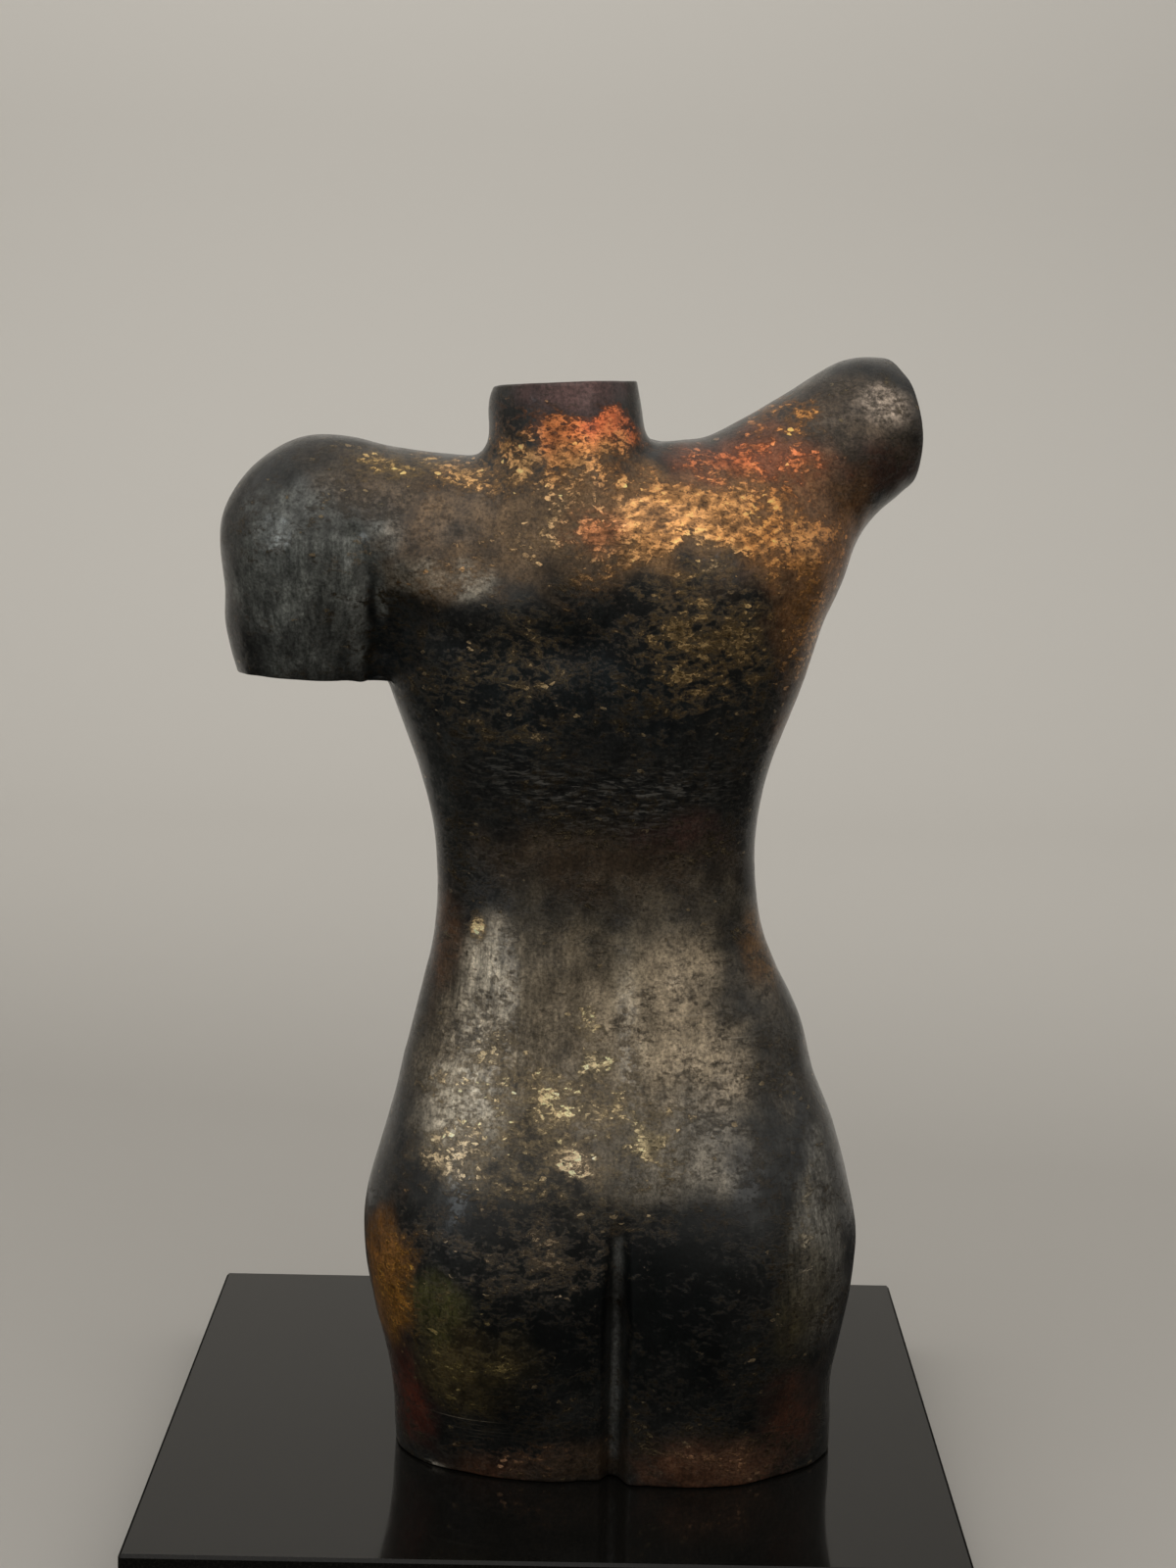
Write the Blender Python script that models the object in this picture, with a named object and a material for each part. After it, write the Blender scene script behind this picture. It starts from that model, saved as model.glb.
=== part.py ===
"""A headless female torso cast in resin, standing on a square stone plinth.

Metres, +Z up. The origin is the middle of the plinth's underside, the figure faces -Y
and its left side is at +X. The torso's form is given in hundredths of its own height.
"""

from math import pi

import bmesh
import bpy
import numpy as np
from mathutils import Matrix, Vector

# Driving sizes
TORSO_HEIGHT = 0.541  # from the thighs' cut to the neck's cut
PLINTH_SIDE = 0.400
PLINTH_THICKNESS = 0.040
PLINTH_CHAMFER = 0.0015  # along the polished edges
SEAT_GAP = 0.0003  # between the plinth and the torso that rests on it
TORSO_PLACE_X = -0.031  # middle of the thighs' cut, from the middle of the plinth
TORSO_PLACE_Y = 0.048

UNIT = TORSO_HEIGHT / 100
CELL = 2.0  # side of one face of the torso, in hundredths of its height

# The trunk's sections: height, then how far it reaches to the figure's left, to its
# right, to the front and to the back, and how square the section is (2 is an ellipse)
TRUNK = (
    (-8.0, 18.6, 18.9, 11.6, 10.8, 2.3),
    (0.0, 20.2, 20.7, 12.1, 11.4, 2.3),
    (8.0, 21.0, 20.6, 12.6, 12.6, 2.4),
    (15.0, 22.5, 21.6, 13.0, 13.3, 2.5),
    (22.0, 23.8, 22.4, 13.2, 13.4, 2.6),
    (29.5, 22.2, 20.4, 13.0, 12.6, 2.5),
    (34.0, 21.1, 18.9, 12.7, 11.4, 2.4),
    (38.0, 20.1, 17.6, 12.4, 10.1, 2.3),
    (42.0, 19.2, 16.9, 12.0, 9.1, 2.2),
    (46.0, 18.2, 14.8, 11.5, 8.4, 2.2),
    (54.0, 17.2, 12.3, 10.8, 7.8, 2.2),
    (60.0, 17.8, 12.2, 10.9, 8.4, 2.2),
    (66.0, 19.2, 13.4, 11.5, 9.9, 2.3),
    (73.0, 21.4, 16.0, 11.8, 11.4, 2.3),
    (80.0, 22.0, 18.1, 11.2, 11.8, 2.4),
    (87.0, 19.5, 18.1, 9.0, 11.0, 2.3),
    (94.0, 15.0, 8.0, 6.0, 9.4, 2.2),
    (102.0, 12.0, 2.0, 5.0, 8.0, 2.2),
)
TRUNK_TOP = 91.6
TRUNK_TOP_ROUNDING = 6.0
TRUNK_FOOT = -6.0  # below the thighs' cut, so that the cut meets full sides
TRUNK_FOOT_ROUNDING = 5.0
SIDE_TURN = 4.0  # how gently the trunk's front half turns into its back half

# Limbs: a row of round joints (left, back, height, radius), joined smoothly, and how
# deep the limb is from front to back for its width
HANGING_ARM = (
    (11.0, 2.2, 85.3, 6.9),
    (27.6, 1.4, 85.2, 9.4),
    (28.2, 0.4, 79.0, 8.25),
    (28.3, -0.6, 72.6, 7.0),
)
HANGING_ARM_DEPTH = 0.88
RAISED_ARM = ((-3.0, 2.4, 84.0, 7.7), (-21.4, -5.0, 96.2, 6.8))
RAISED_ARM_DEPTH = 0.95
NECK = ((4.6, 4.6, 84.0, 7.7), (6.1, 2.6, 97.8, 6.8))
NECK_DEPTH = 0.97
LIMB_FILLET = 2.0  # between the stretches of one limb
RAISED_ARM_FILLET = 7.0
NECK_FILLET = 2.4
# The hanging arm lies against the side in a crease, and runs into the shoulder above it
CREASE_HEIGHTS = (77.0, 90.0)
CREASE_FILLETS = (2.0, 8.0)

# Round masses: middle (left, back, height), reach along each axis, and the fillet at its edge
MASSES = (
    ((10.4, -2.2, 3.0), (9.6, 10.8, 14.0), 3.0),  # left thigh
    ((-9.8, -2.6, 3.0), (9.6, 10.8, 14.0), 3.0),  # right thigh
    ((10.2, 2.8, 18.5), (11.0, 11.5, 17.0), 4.5),  # left buttock
    ((-9.6, 3.0, 18.5), (10.8, 11.7, 17.0), 4.5),  # right buttock
    ((11.8, -3.0, 76.0), (7.0, 8.2, 11.0), 3.5),  # slope above the left breast
    ((-5.4, -3.2, 78.4), (7.0, 8.2, 11.0), 3.5),  # slope above the right breast
    ((12.3, -6.0, 69.4), (7.8, 9.7, 8.2), 3.5),  # left breast
    ((-5.6, -6.2, 71.4), (7.7, 9.6, 8.4), 3.5),  # right breast
)

# Swellings and hollows: middle, reach along each axis, how far the surface rises there
SWELLINGS = (
    ((15.5, 10.5, 80.5), (9.5, 8.0, 10.5), 0.9),  # left shoulder blade
    ((-6.5, 10.5, 82.5), (9.5, 8.0, 10.5), 1.0),  # right shoulder blade
    ((18.5, 8.5, 84.5), (7.5, 7.0, 6.0), 0.8),  # muscle from the left shoulder blade to the arm
    ((-2.8, 2.6, 94.0), (5.5, 9.0, 6.0), 1.6),  # where the neck runs into the raised shoulder
    ((-9.0, 10.5, 1.0), (10.0, 8.0, 13.0), 0.9),  # back of the right thigh
    ((8.0, 9.0, 43.0), (6.5, 8.0, 17.0), 0.7),  # left of the lumbar furrow
    ((-4.2, 9.0, 43.0), (6.5, 8.0, 17.0), 0.7),  # right of the lumbar furrow
    ((1.4, -12.0, 34.0), (13.0, 8.0, 14.0), 1.3),  # belly
    ((0.5, -12.0, 14.5), (6.5, 6.0, 8.0), 1.0),  # below the belly
    ((6.2, -8.5, 90.8), (4.0, 5.0, 3.6), -0.8),  # pit of the throat
)

# Furrows and ridges over the front (-1) or the back (+1): the line (left, height) that
# each follows, half its width, and how deep it is cut (a ridge is cut less than nothing)
FURROW_FADE = 2.6  # length of each fading end, in half widths
FURROW_TURN = 2.0  # how gently a furrow fades where the front turns into the back
CLEFT_LINE = ((0.5, -16.0), (0.5, 0.0), (0.2, 10.0), (-0.2, 23.5))
FURROWS = (
    (1, CLEFT_LINE, 3.1, 2.7),  # between the buttocks
    (1, ((0.2, 26.0), (1.4, 40.0), (2.6, 54.0), (3.6, 68.0), (5.2, 89.0)), 4.6, 1.1),  # spine
    (-1, ((0.5, -16.0), (0.5, 0.0), (0.5, 11.0)), 3.4, 2.2),  # between the thighs
    (-1, ((19.0, 33.0), (10.5, 21.0), (2.6, 8.0)), 4.8, 1.0),  # left groin
    (-1, ((-17.0, 33.0), (-9.0, 21.0), (-1.6, 8.0)), 4.8, 1.0),  # right groin
    (-1, ((1.8, 40.0), (3.0, 60.0), (3.6, 84.0)), 4.6, 0.8),  # middle of the belly and chest
    (-1, ((3.6, 64.0), (10.0, 57.0), (15.5, 48.0)), 4.4, 0.5),  # under the left ribs
    (-1, ((2.8, 64.0), (-3.6, 57.0), (-8.4, 48.0)), 4.4, 0.5),  # under the right ribs
    (-1, ((7.6, 90.6), (16.0, 90.2), (26.0, 91.6)), 3.2, -0.7),  # left collarbone
    (-1, ((4.6, 90.6), (-4.0, 91.0), (-13.0, 94.6)), 3.2, -0.7),  # right collarbone
)

# Flat cuts: a point of the plane and the way it faces, both as (left, back, height), and
# how far from the point the cut goes
THIGH_CUT = ((0.0, 0.0, 0.0), (0.0, 0.0, -1.0), 40.0)
NECK_CUT = ((6.2, 2.2, 100.1), (0.05, -0.02, 1.0), 11.0)
HANGING_CUT = ((28.4, -0.6, 73.1), (0.02, 0.03, -1.0), 14.0)
RAISED_CUT = ((-24.0, -5.4, 96.8), (-0.88, -0.45, 0.13), 12.0)
CORNER_SHARE = 0.35  # of a face: how near to the side a point of a flat end counts as its corner
SNAP_SHARE = 0.3  # of a face: how near to a cut a point is drawn onto it
LEAST_EDGE_SHARE = 0.1  # of a face: shorter edges left by a cut are closed up

# How often the points are evened out over the whole skin and over a flat end, and in how
# many steps they are drawn onto a surface, roughly and fully
SKIN_ROUNDS = 24
SPREAD_ROUNDS = 60
ROUGH_STEPS = 3
FULL_STEPS = 8
CORNER_ROUNDS = 6

# Looks of the plain solids: colour, roughness, metallic, coat
RESIN = ((0.075, 0.060, 0.045), 0.30, 0.35, 0.7)
BLACK_STONE = ((0.012, 0.012, 0.011), 0.08, 0.0, 0.5)


def spline(at, knots, values):
    """A natural cubic spline through the knots, level beyond both ends."""
    gaps = np.diff(knots)
    slopes = np.diff(values) / gaps
    matrix = np.eye(len(knots))
    for i in range(1, len(gaps)):
        matrix[i, i - 1 : i + 2] = gaps[i - 1], 2 * (gaps[i - 1] + gaps[i]), gaps[i]
    bends = np.linalg.solve(matrix, np.concatenate(([0], 6 * np.diff(slopes), [0])))
    i = np.clip(np.searchsorted(knots, at) - 1, 0, len(gaps) - 1)
    t = np.clip(at - knots[i], 0, gaps[i])
    first = slopes[i] - gaps[i] * (2 * bends[i] + bends[i + 1]) / 6
    third = (bends[i + 1] - bends[i]) / (6 * gaps[i])
    return values[i] + t * (first + t * (bends[i] / 2 + t * third))


def trunk_section(height):
    """The trunk's reach to the left, right, front and back at each height, and its squareness."""
    table = np.array(TRUNK)
    return (spline(height, table[:, 0], column) for column in table[:, 1:].T)


def melt(a, b, width):
    """Joins two forms with a fillet where their surfaces are nearer than the width."""
    near = np.maximum(width - np.abs(a - b), 0) / width
    return np.minimum(a, b) - near**3 * width / 6


def trunk(points):
    left, right, front, back, square = trunk_section(points[:, 2])
    half = (left + right) / 2
    across = np.abs(points[:, 0] - (left - right) / 2) / half
    depth = front + (back - front) * (1 + np.tanh(points[:, 1] / SIDE_TURN)) / 2
    ring = (across**square + np.abs(points[:, 1] / depth) ** square) ** (1 / square)
    sides = (ring - 1) * np.minimum(half, depth)
    return -melt(-sides, TRUNK_TOP - points[:, 2], TRUNK_TOP_ROUNDING)


def limb(points, joints, depth_share):
    """Round joints in a row, with tapered stretches between them."""
    squash = np.array((1, depth_share, 1))
    form = None
    for start, end in zip(joints, joints[1:]):
        origin = np.array(start[:3])
        way = (np.array(end[:3]) - origin) / squash
        off = (points - origin) / squash
        along = np.clip(off @ way / (way @ way), 0, 1)
        radius = start[3] + (end[3] - start[3]) * along
        stretch = np.linalg.norm(off - along[:, None] * way, axis=1) - radius
        form = stretch if form is None else melt(form, stretch, LIMB_FILLET)
    return form


def mass(points, middle, reach):
    scaled = np.linalg.norm((points - middle) / reach, axis=1)
    return (scaled - 1) * min(reach)


def bump(far):
    """One in the middle, falling to nothing at a distance of one."""
    return np.maximum(1 - far**2, 0) ** 3


def ease(share):
    share = np.clip(share, 0, 1)
    return share * share * (3 - 2 * share)


def furrow(points, side, line, width):
    """One along the line, seen from the front or the back, and fading at its sides and ends."""
    nearest = np.full(len(points), np.inf)
    run = np.zeros(len(points))
    flat = points[:, [0, 2]]
    length = 0
    for start, end in zip(line, line[1:]):
        origin = np.array(start)
        way = np.array(end) - origin
        along = np.clip((flat - origin) @ way / (way @ way), 0, 1)
        far = np.linalg.norm(flat - origin - along[:, None] * way, axis=1)
        stretch = np.hypot(*way)
        run = np.where(far < nearest, length + along * stretch, run)
        nearest = np.minimum(nearest, far)
        length += stretch
    facing = (1 + np.tanh(side * points[:, 1] / FURROW_TURN)) / 2
    fade = FURROW_FADE * width
    return facing * bump(nearest / width) * ease(run / fade) * ease((length - run) / fade)


def core(points):
    """The body without its arms and neck."""
    form = trunk(points)
    for middle, reach, fillet in MASSES:
        form = melt(form, mass(points, middle, reach), fillet)
    return -melt(-form, points[:, 2] - TRUNK_FOOT, TRUNK_FOOT_ROUNDING)


def carve(form, points):
    for middle, reach, rise in SWELLINGS:
        form = form - rise * bump(np.linalg.norm((points - middle) / reach, axis=1))
    for side, line, width, depth in FURROWS:
        form = form + depth * furrow(points, side, line, width)
    return form


def side_of_body(points):
    return carve(core(points), points)


def torso(points):
    """Below zero inside the torso, above zero outside it."""
    form = core(points)
    crease = np.interp(points[:, 2], CREASE_HEIGHTS, CREASE_FILLETS)
    form = melt(form, limb(points, HANGING_ARM, HANGING_ARM_DEPTH), crease)
    form = melt(form, limb(points, RAISED_ARM, RAISED_ARM_DEPTH), RAISED_ARM_FILLET)
    form = carve(form, points)
    return melt(form, limb(points, NECK, NECK_DEPTH), NECK_FILLET)


def settle(points, form, steps):
    """Moves points straight onto the surface of a form, a little at a time."""
    probe = 0.05
    longest = 1.5
    least_slope = 0.1
    for _ in range(steps):
        value = form(points)
        slope = np.empty_like(points)
        for axis in range(3):
            ahead = points.copy()
            ahead[:, axis] += probe
            slope[:, axis] = (form(ahead) - value) / probe
        steep = np.maximum((slope**2).sum(1), least_slope)
        points = points - np.clip(value / steep, -longest, longest)[:, None] * slope
    return points


def points_of(verts):
    return np.array([vert.co for vert in verts]).reshape(-1, 3)


def place(verts, points):
    for vert, point in zip(verts, points):
        vert.co = point


def add_rough_trunk(bm):
    """Rings at the trunk's sections, bridged and closed at both ends."""
    rings = []
    for height, left, right, front, back, square in TRUNK:
        if not TRUNK_FOOT < height < TRUNK_TOP:
            continue
        ring = bmesh.ops.create_circle(bm, segments=40, radius=1, cap_ends=False)["verts"]
        for vert in ring:
            turn = np.abs(vert.co.xy) ** (2 / square) * np.sign(vert.co.xy)
            across = (left - right) / 2 + turn[0] * (left + right) / 2
            vert.co = (across, turn[1] * (back if turn[1] > 0 else front), height)
        rings.append(list({edge for vert in ring for edge in vert.link_edges}))
    for low, high in zip(rings, rings[1:]):
        bmesh.ops.bridge_loops(bm, edges=low + high)
    bmesh.ops.holes_fill(bm, edges=rings[0] + rings[-1], sides=0)


def add_rough_limb(bm, joints):
    for start, end in zip(joints, joints[1:]):
        way = Vector(end[:3]) - Vector(start[:3])
        turn = way.to_track_quat("Z", "Y").to_matrix().to_4x4()
        middle = Matrix.Translation((Vector(start[:3]) + Vector(end[:3])) / 2)
        bmesh.ops.create_cone(
            bm, cap_ends=True, segments=24, radius1=start[3], radius2=end[3],
            depth=way.length, matrix=middle @ turn,
        )
        ball = Matrix.Translation(end[:3])
        bmesh.ops.create_icosphere(bm, subdivisions=3, radius=end[3], matrix=ball)


def even_skin():
    """A closed skin of even square faces round all the rough pieces."""
    bm = bmesh.new()
    add_rough_trunk(bm)
    for joints in (HANGING_ARM, RAISED_ARM, NECK):
        add_rough_limb(bm, joints)
    for middle, reach, fillet in MASSES:
        scaled = Matrix.LocRotScale(Vector(middle), None, Vector(reach))
        bmesh.ops.create_icosphere(bm, subdivisions=3, radius=1, matrix=scaled)
    bmesh.ops.recalc_face_normals(bm, faces=bm.faces)
    mesh = bpy.data.meshes.new("rough")
    bm.to_mesh(mesh)
    rough = bpy.data.objects.new("rough", mesh)
    bpy.context.scene.collection.objects.link(rough)
    remesh = rough.modifiers.new("Skin", "REMESH")
    remesh.mode = "VOXEL"
    remesh.voxel_size = CELL
    skin = rough.evaluated_get(bpy.context.evaluated_depsgraph_get()).to_mesh()
    bm.clear()
    bm.from_mesh(skin)
    bpy.data.objects.remove(rough)
    bpy.data.meshes.remove(mesh)
    return bm


def hold_cleft(points):
    """Keeps a column of points along the cleft's bottom, so that it stays crisp."""
    heights = [height for left, height in CLEFT_LINE]
    middle = np.interp(points[:, 2], heights, [left for left, height in CLEFT_LINE])
    near = (points[:, 1] > 0) & (points[:, 2] < heights[-1]) & (abs(points[:, 0] - middle) < CELL / 2)
    points[near, 0] = middle[near]
    return points


def smooth(bm, verts):
    bmesh.ops.smooth_vert(
        bm, verts=verts, factor=0.5, use_axis_x=True, use_axis_y=True, use_axis_z=True
    )


def shape_skin(bm):
    """Draws the skin onto the torso's surface and evens its faces out."""
    verts = list(bm.verts)
    for _ in range(SKIN_ROUNDS):
        smooth(bm, verts)
        place(verts, settle(hold_cleft(points_of(verts)), torso, ROUGH_STEPS))
    place(verts, settle(points_of(verts), torso, FULL_STEPS))


def lay_on_plane(verts, point, facing):
    for vert in verts:
        vert.co -= facing * (vert.co - point).dot(facing)


def cut_end(bm, cut, beside=None):
    """Cuts a round end off flat: its points go onto the plane and spread evenly over it.

    Where the end lies against another form, that form's own side goes on below the cut.
    """
    point, facing, reach = Vector(cut[0]), Vector(cut[1]).normalized(), cut[2]

    def free(items, places, least):
        """The items near the cut and clear of the form beside it."""
        far = np.full(len(places), np.inf) if beside is None else beside(places)
        near = np.linalg.norm(places - np.array(point), axis=1) < reach
        return [item for item, away, ok in zip(items, far, near) if ok and away > least]

    faces = list(bm.faces)
    parts = {}
    for face in free(faces, np.array([face.calc_center_median() for face in faces]), 0):
        parts.update(dict.fromkeys((face, *face.edges, *face.verts)))
    bmesh.ops.bisect_plane(
        bm, geom=list(parts), dist=CELL * SNAP_SHARE, plane_co=point, plane_no=facing,
        use_snap_center=True,
    )
    over = [vert for vert in bm.verts if (vert.co - point).dot(facing) > CELL / 100]
    beyond = free(over, points_of(over), CELL * CORNER_SHARE)
    lay_on_plane(beyond, point, facing)
    corner = []
    if beside is not None:
        ends = set(beyond)
        side = [vert for vert in over if vert not in ends and (vert.co - point).length < reach]
        place(side, settle(points_of(side), beside, FULL_STEPS))
        sides = set(side)
        corner = [v for v in beyond if any(e.other_vert(v) in sides for e in v.link_edges)]
        for _ in range(CORNER_ROUNDS):
            place(corner, settle(points_of(corner), beside, ROUGH_STEPS))
            lay_on_plane(corner, point, facing)
    held = set(corner)
    inner = [vert for vert in beyond if vert not in held]
    for _ in range(SPREAD_ROUNDS):
        smooth(bm, inner)


def make_torso():
    bm = even_skin()
    shape_skin(bm)
    cut_end(bm, THIGH_CUT)
    cut_end(bm, NECK_CUT)
    cut_end(bm, RAISED_CUT)
    cut_end(bm, HANGING_CUT, beside=side_of_body)
    bmesh.ops.dissolve_degenerate(bm, dist=CELL * LEAST_EDGE_SHARE, edges=bm.edges)
    bmesh.ops.scale(bm, verts=bm.verts, vec=(UNIT, UNIT, UNIT))
    mesh = bpy.data.meshes.new("torso")
    bm.to_mesh(mesh)
    bm.free()
    mesh.materials.append(make_material("resin", *RESIN))
    mesh.shade_smooth()
    mesh.set_sharp_from_angle(angle=pi / 4)
    obj = bpy.data.objects.new("torso", mesh)
    obj.location = (TORSO_PLACE_X, TORSO_PLACE_Y, PLINTH_THICKNESS + SEAT_GAP)
    bpy.context.scene.collection.objects.link(obj)


def make_plinth():
    bm = bmesh.new()
    size = Matrix.Diagonal((PLINTH_SIDE, PLINTH_SIDE, PLINTH_THICKNESS, 1))
    lift = Matrix.Translation((0, 0, PLINTH_THICKNESS / 2))
    bmesh.ops.create_cube(bm, size=1, matrix=lift @ size)
    bmesh.ops.bevel(
        bm, geom=bm.edges, offset=PLINTH_CHAMFER, segments=1, profile=0.5, affect="EDGES"
    )
    mesh = bpy.data.meshes.new("plinth")
    bm.to_mesh(mesh)
    bm.free()
    mesh.materials.append(make_material("black_stone", *BLACK_STONE))
    obj = bpy.data.objects.new("plinth", mesh)
    bpy.context.scene.collection.objects.link(obj)


def make_material(name, colour, roughness, metallic, coat):
    material = bpy.data.materials.new(name)
    material.use_nodes = True
    shader = material.node_tree.nodes["Principled BSDF"]
    shader.inputs["Base Color"].default_value = (*colour, 1)
    shader.inputs["Roughness"].default_value = roughness
    shader.inputs["Metallic"].default_value = metallic
    shader.inputs["Coat Weight"].default_value = coat
    return material


def main():
    for obj in list(bpy.data.objects):
        bpy.data.objects.remove(obj)
    make_plinth()
    make_torso()


main()
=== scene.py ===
from math import pi, radians

import bmesh
import bpy
import numpy as np
from mathutils import Matrix, Vector, noise


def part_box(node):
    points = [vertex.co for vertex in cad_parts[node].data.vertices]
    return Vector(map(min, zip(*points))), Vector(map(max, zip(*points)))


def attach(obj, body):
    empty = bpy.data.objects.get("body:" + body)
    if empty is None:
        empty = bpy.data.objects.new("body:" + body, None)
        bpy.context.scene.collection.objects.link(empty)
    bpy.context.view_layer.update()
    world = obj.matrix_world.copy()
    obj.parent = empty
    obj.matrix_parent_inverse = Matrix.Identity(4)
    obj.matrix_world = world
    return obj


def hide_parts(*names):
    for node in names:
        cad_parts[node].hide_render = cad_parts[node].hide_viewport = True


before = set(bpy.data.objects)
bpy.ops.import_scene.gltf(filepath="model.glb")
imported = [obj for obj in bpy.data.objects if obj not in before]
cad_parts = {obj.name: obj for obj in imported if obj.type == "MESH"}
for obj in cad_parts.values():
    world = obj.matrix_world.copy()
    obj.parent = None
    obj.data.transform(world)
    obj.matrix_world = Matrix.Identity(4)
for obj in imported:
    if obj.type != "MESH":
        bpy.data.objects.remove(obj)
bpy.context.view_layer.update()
print("frame loaded")


# The camera stands behind the figure, a little above its shoulders.

camera = {
    "place": (-0.0117, 1.4456, 0.6089),
    "turn": radians(179.973),
    "tilt": radians(9.168),
    "roll": radians(1.101),
    "lens": 65.09,
    "sensor": 36.0,
}


def placeCamera():
    data = bpy.data.cameras.new("camera")
    data.lens = camera["lens"]
    data.sensor_width = camera["sensor"]
    eye = bpy.data.objects.new("camera", data)
    eye.matrix_world = (
        Matrix.Translation(camera["place"])
        @ Matrix.Rotation(camera["turn"], 4, "Z")
        @ Matrix.Rotation(pi / 2 - camera["tilt"], 4, "X")
        @ Matrix.Rotation(camera["roll"], 4, "Z")
    )
    bpy.context.scene.collection.objects.link(eye)
    bpy.context.scene.camera = eye


placeCamera()
print("camera placed")


# Node helpers. An input is a value, or the output of another node.

def newMaterial(name):
    material = bpy.data.materials.new(name)
    material.use_nodes = True
    return material, material.node_tree.nodes["Principled BSDF"]


def addNode(material, kind, inputs=None, **settings):
    node = material.node_tree.nodes.new("ShaderNode" + kind)
    for name, value in settings.items():
        setattr(node, name, value)
    for name, value in (inputs or {}).items():
        plug(material, node.inputs[name], value)
    return node


def plug(material, socket, value):
    if isinstance(value, bpy.types.NodeSocket):
        material.node_tree.links.new(value, socket)
    else:
        socket.default_value = value


def maths(material, operation, first, second=0.0, third=0.0):
    node = addNode(material, "Math", {0: first, 1: second, 2: third}, operation=operation)
    return node.outputs[0]


def blendColours(material, share, below, above, blendType="MIX"):
    node = addNode(material, "Mix", data_type="RGBA", blend_type=blendType)
    plug(material, node.inputs["Factor"], share)
    plug(material, node.inputs[6], below)
    plug(material, node.inputs[7], above)
    return node.outputs[2]


def ramp(material, value, low, high, start=0.0, end=1.0):
    inputs = {"Value": value, "From Min": low, "From Max": high, "To Min": start, "To Max": end}
    return addNode(material, "MapRange", inputs, interpolation_type="SMOOTHSTEP").outputs[0]


def grain(material, place, scale, detail=4.0, roughness=0.55, distortion=0.0):
    inputs = {
        "Vector": place, "Scale": scale, "Detail": detail,
        "Roughness": roughness, "Distortion": distortion,
    }
    return addNode(material, "TexNoise", inputs).outputs["Fac"]


def stretched(material, place, turn=(0, 0, 0), scale=(1, 1, 1)):
    inputs = {"Vector": place, "Rotation": turn, "Scale": scale}
    return addNode(material, "Mapping", inputs).outputs["Vector"]


# The torso's skin: the solid's own faces, made quads again and subdivided. Its flat ends
# keep their edge, which is then eased, and fine forms are pushed in and out of it.

skin = {
    "weld": 0.00001,
    "flat": (0.999, 0.0003),  # how nearly a face lies in its cut
    "levels": 2,
    "quadAngle": radians(40),
    "ends": {  # a point of each flat cut and the way it faces
        "neck": ((0.0025, 0.0599, 0.5818), (0.05, -0.02, 1.0)),
        "hanging arm": ((0.1226, 0.0448, 0.4358), (0.02, 0.03, -1.0)),
        "raised arm": ((-0.1608, 0.0188, 0.564), (-0.88, -0.45, 0.13)),
        "thighs": ((-0.031, 0.048, 0.0403), (0.0, 0.0, -1.0)),
    },
    "endRing": 0.005,
    "rimRadius": 0.0011,
    "lumps": ((0.05, 0.0007), (0.021, 0.0003), (0.01, 0.0001)),  # size and height of each
    "finer": {  # a middle and a reach of each area that has fine relief
        "upper back": ((-0.05, 0.1, 0.512), (0.082, 0.07, 0.046)),
        "wrinkled band": ((-0.016, 0.1, 0.39), (0.075, 0.06, 0.028)),
        "cleft": ((-0.031, 0.11, 0.11), (0.019, 0.06, 0.082)),
        "arm crease": ((0.092, 0.08, 0.47), (0.018, 0.06, 0.048)),
        "shoulder lumps and painted highlight": ((0.138, 0.09, 0.51), (0.022, 0.06, 0.02)),
    },
}

# Forms pushed in (-) or out (+) of the back: points (x, z) of a line, half width and height.

folds = {
    "shoulder blade": (
        ((0.094, 0.509), (0.075, 0.494), (0.053, 0.48), (0.02, 0.474), (-0.006, 0.474)),
        0.0115, 0.0021,
    ),
    "below the blade": (
        ((0.09, 0.484), (0.06, 0.462), (0.025, 0.455), (-0.006, 0.457)),
        0.0125, -0.0018,
    ),
    "arm crease": (
        ((0.1005, 0.508), (0.0965, 0.49), (0.0925, 0.472), (0.0895, 0.455), (0.0875, 0.437)),
        0.0056, -0.0026,
    ),
    "arm ridge": (
        ((0.103, 0.492), (0.0995, 0.47), (0.0965, 0.45), (0.095, 0.437)),
        0.0046, 0.0014,
    ),
    "shoulder lumps and painted highlight": (
        ((0.147, 0.517), (0.139, 0.52), (0.131, 0.515), (0.13, 0.506), (0.136, 0.5), (0.145, 0.501)),
        0.0026, 0.00055,
    ),
    "spine": (
        ((-0.016, 0.52), (-0.018, 0.44), (-0.02, 0.36), (-0.022, 0.29), (-0.027, 0.23)),
        0.013, -0.0012,
    ),
}

# Fuller places: a middle, a reach and how far they stand out

swells = {
    "right hip": ((-0.122, 0.05, 0.207), (0.045, 0.095, 0.045), 0.0036),
    "above the right hip": ((-0.116, 0.05, 0.25), (0.04, 0.09, 0.026), 0.0015),
}

# Parts of the figure that are shifted a little: a middle, a reach and the shift

nudges = {
    "hanging arm's end": ((0.115, 0.05, 0.44), (0.09, 0.12, 0.055), (0.0045, 0.0, 0.0)),
    "neck's left side": ((0.045, 0.06, 0.568), (0.03, 0.07, 0.026), (0.0018, 0.0, 0.0)),
    "neck's left corner": ((0.047, 0.06, 0.586), (0.018, 0.06, 0.014), (-0.0012, 0.0, -0.0022)),
    "left shoulder's top": ((0.105, 0.06, 0.548), (0.06, 0.08, 0.034), (0.0, 0.0, 0.0018)),
}

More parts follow.
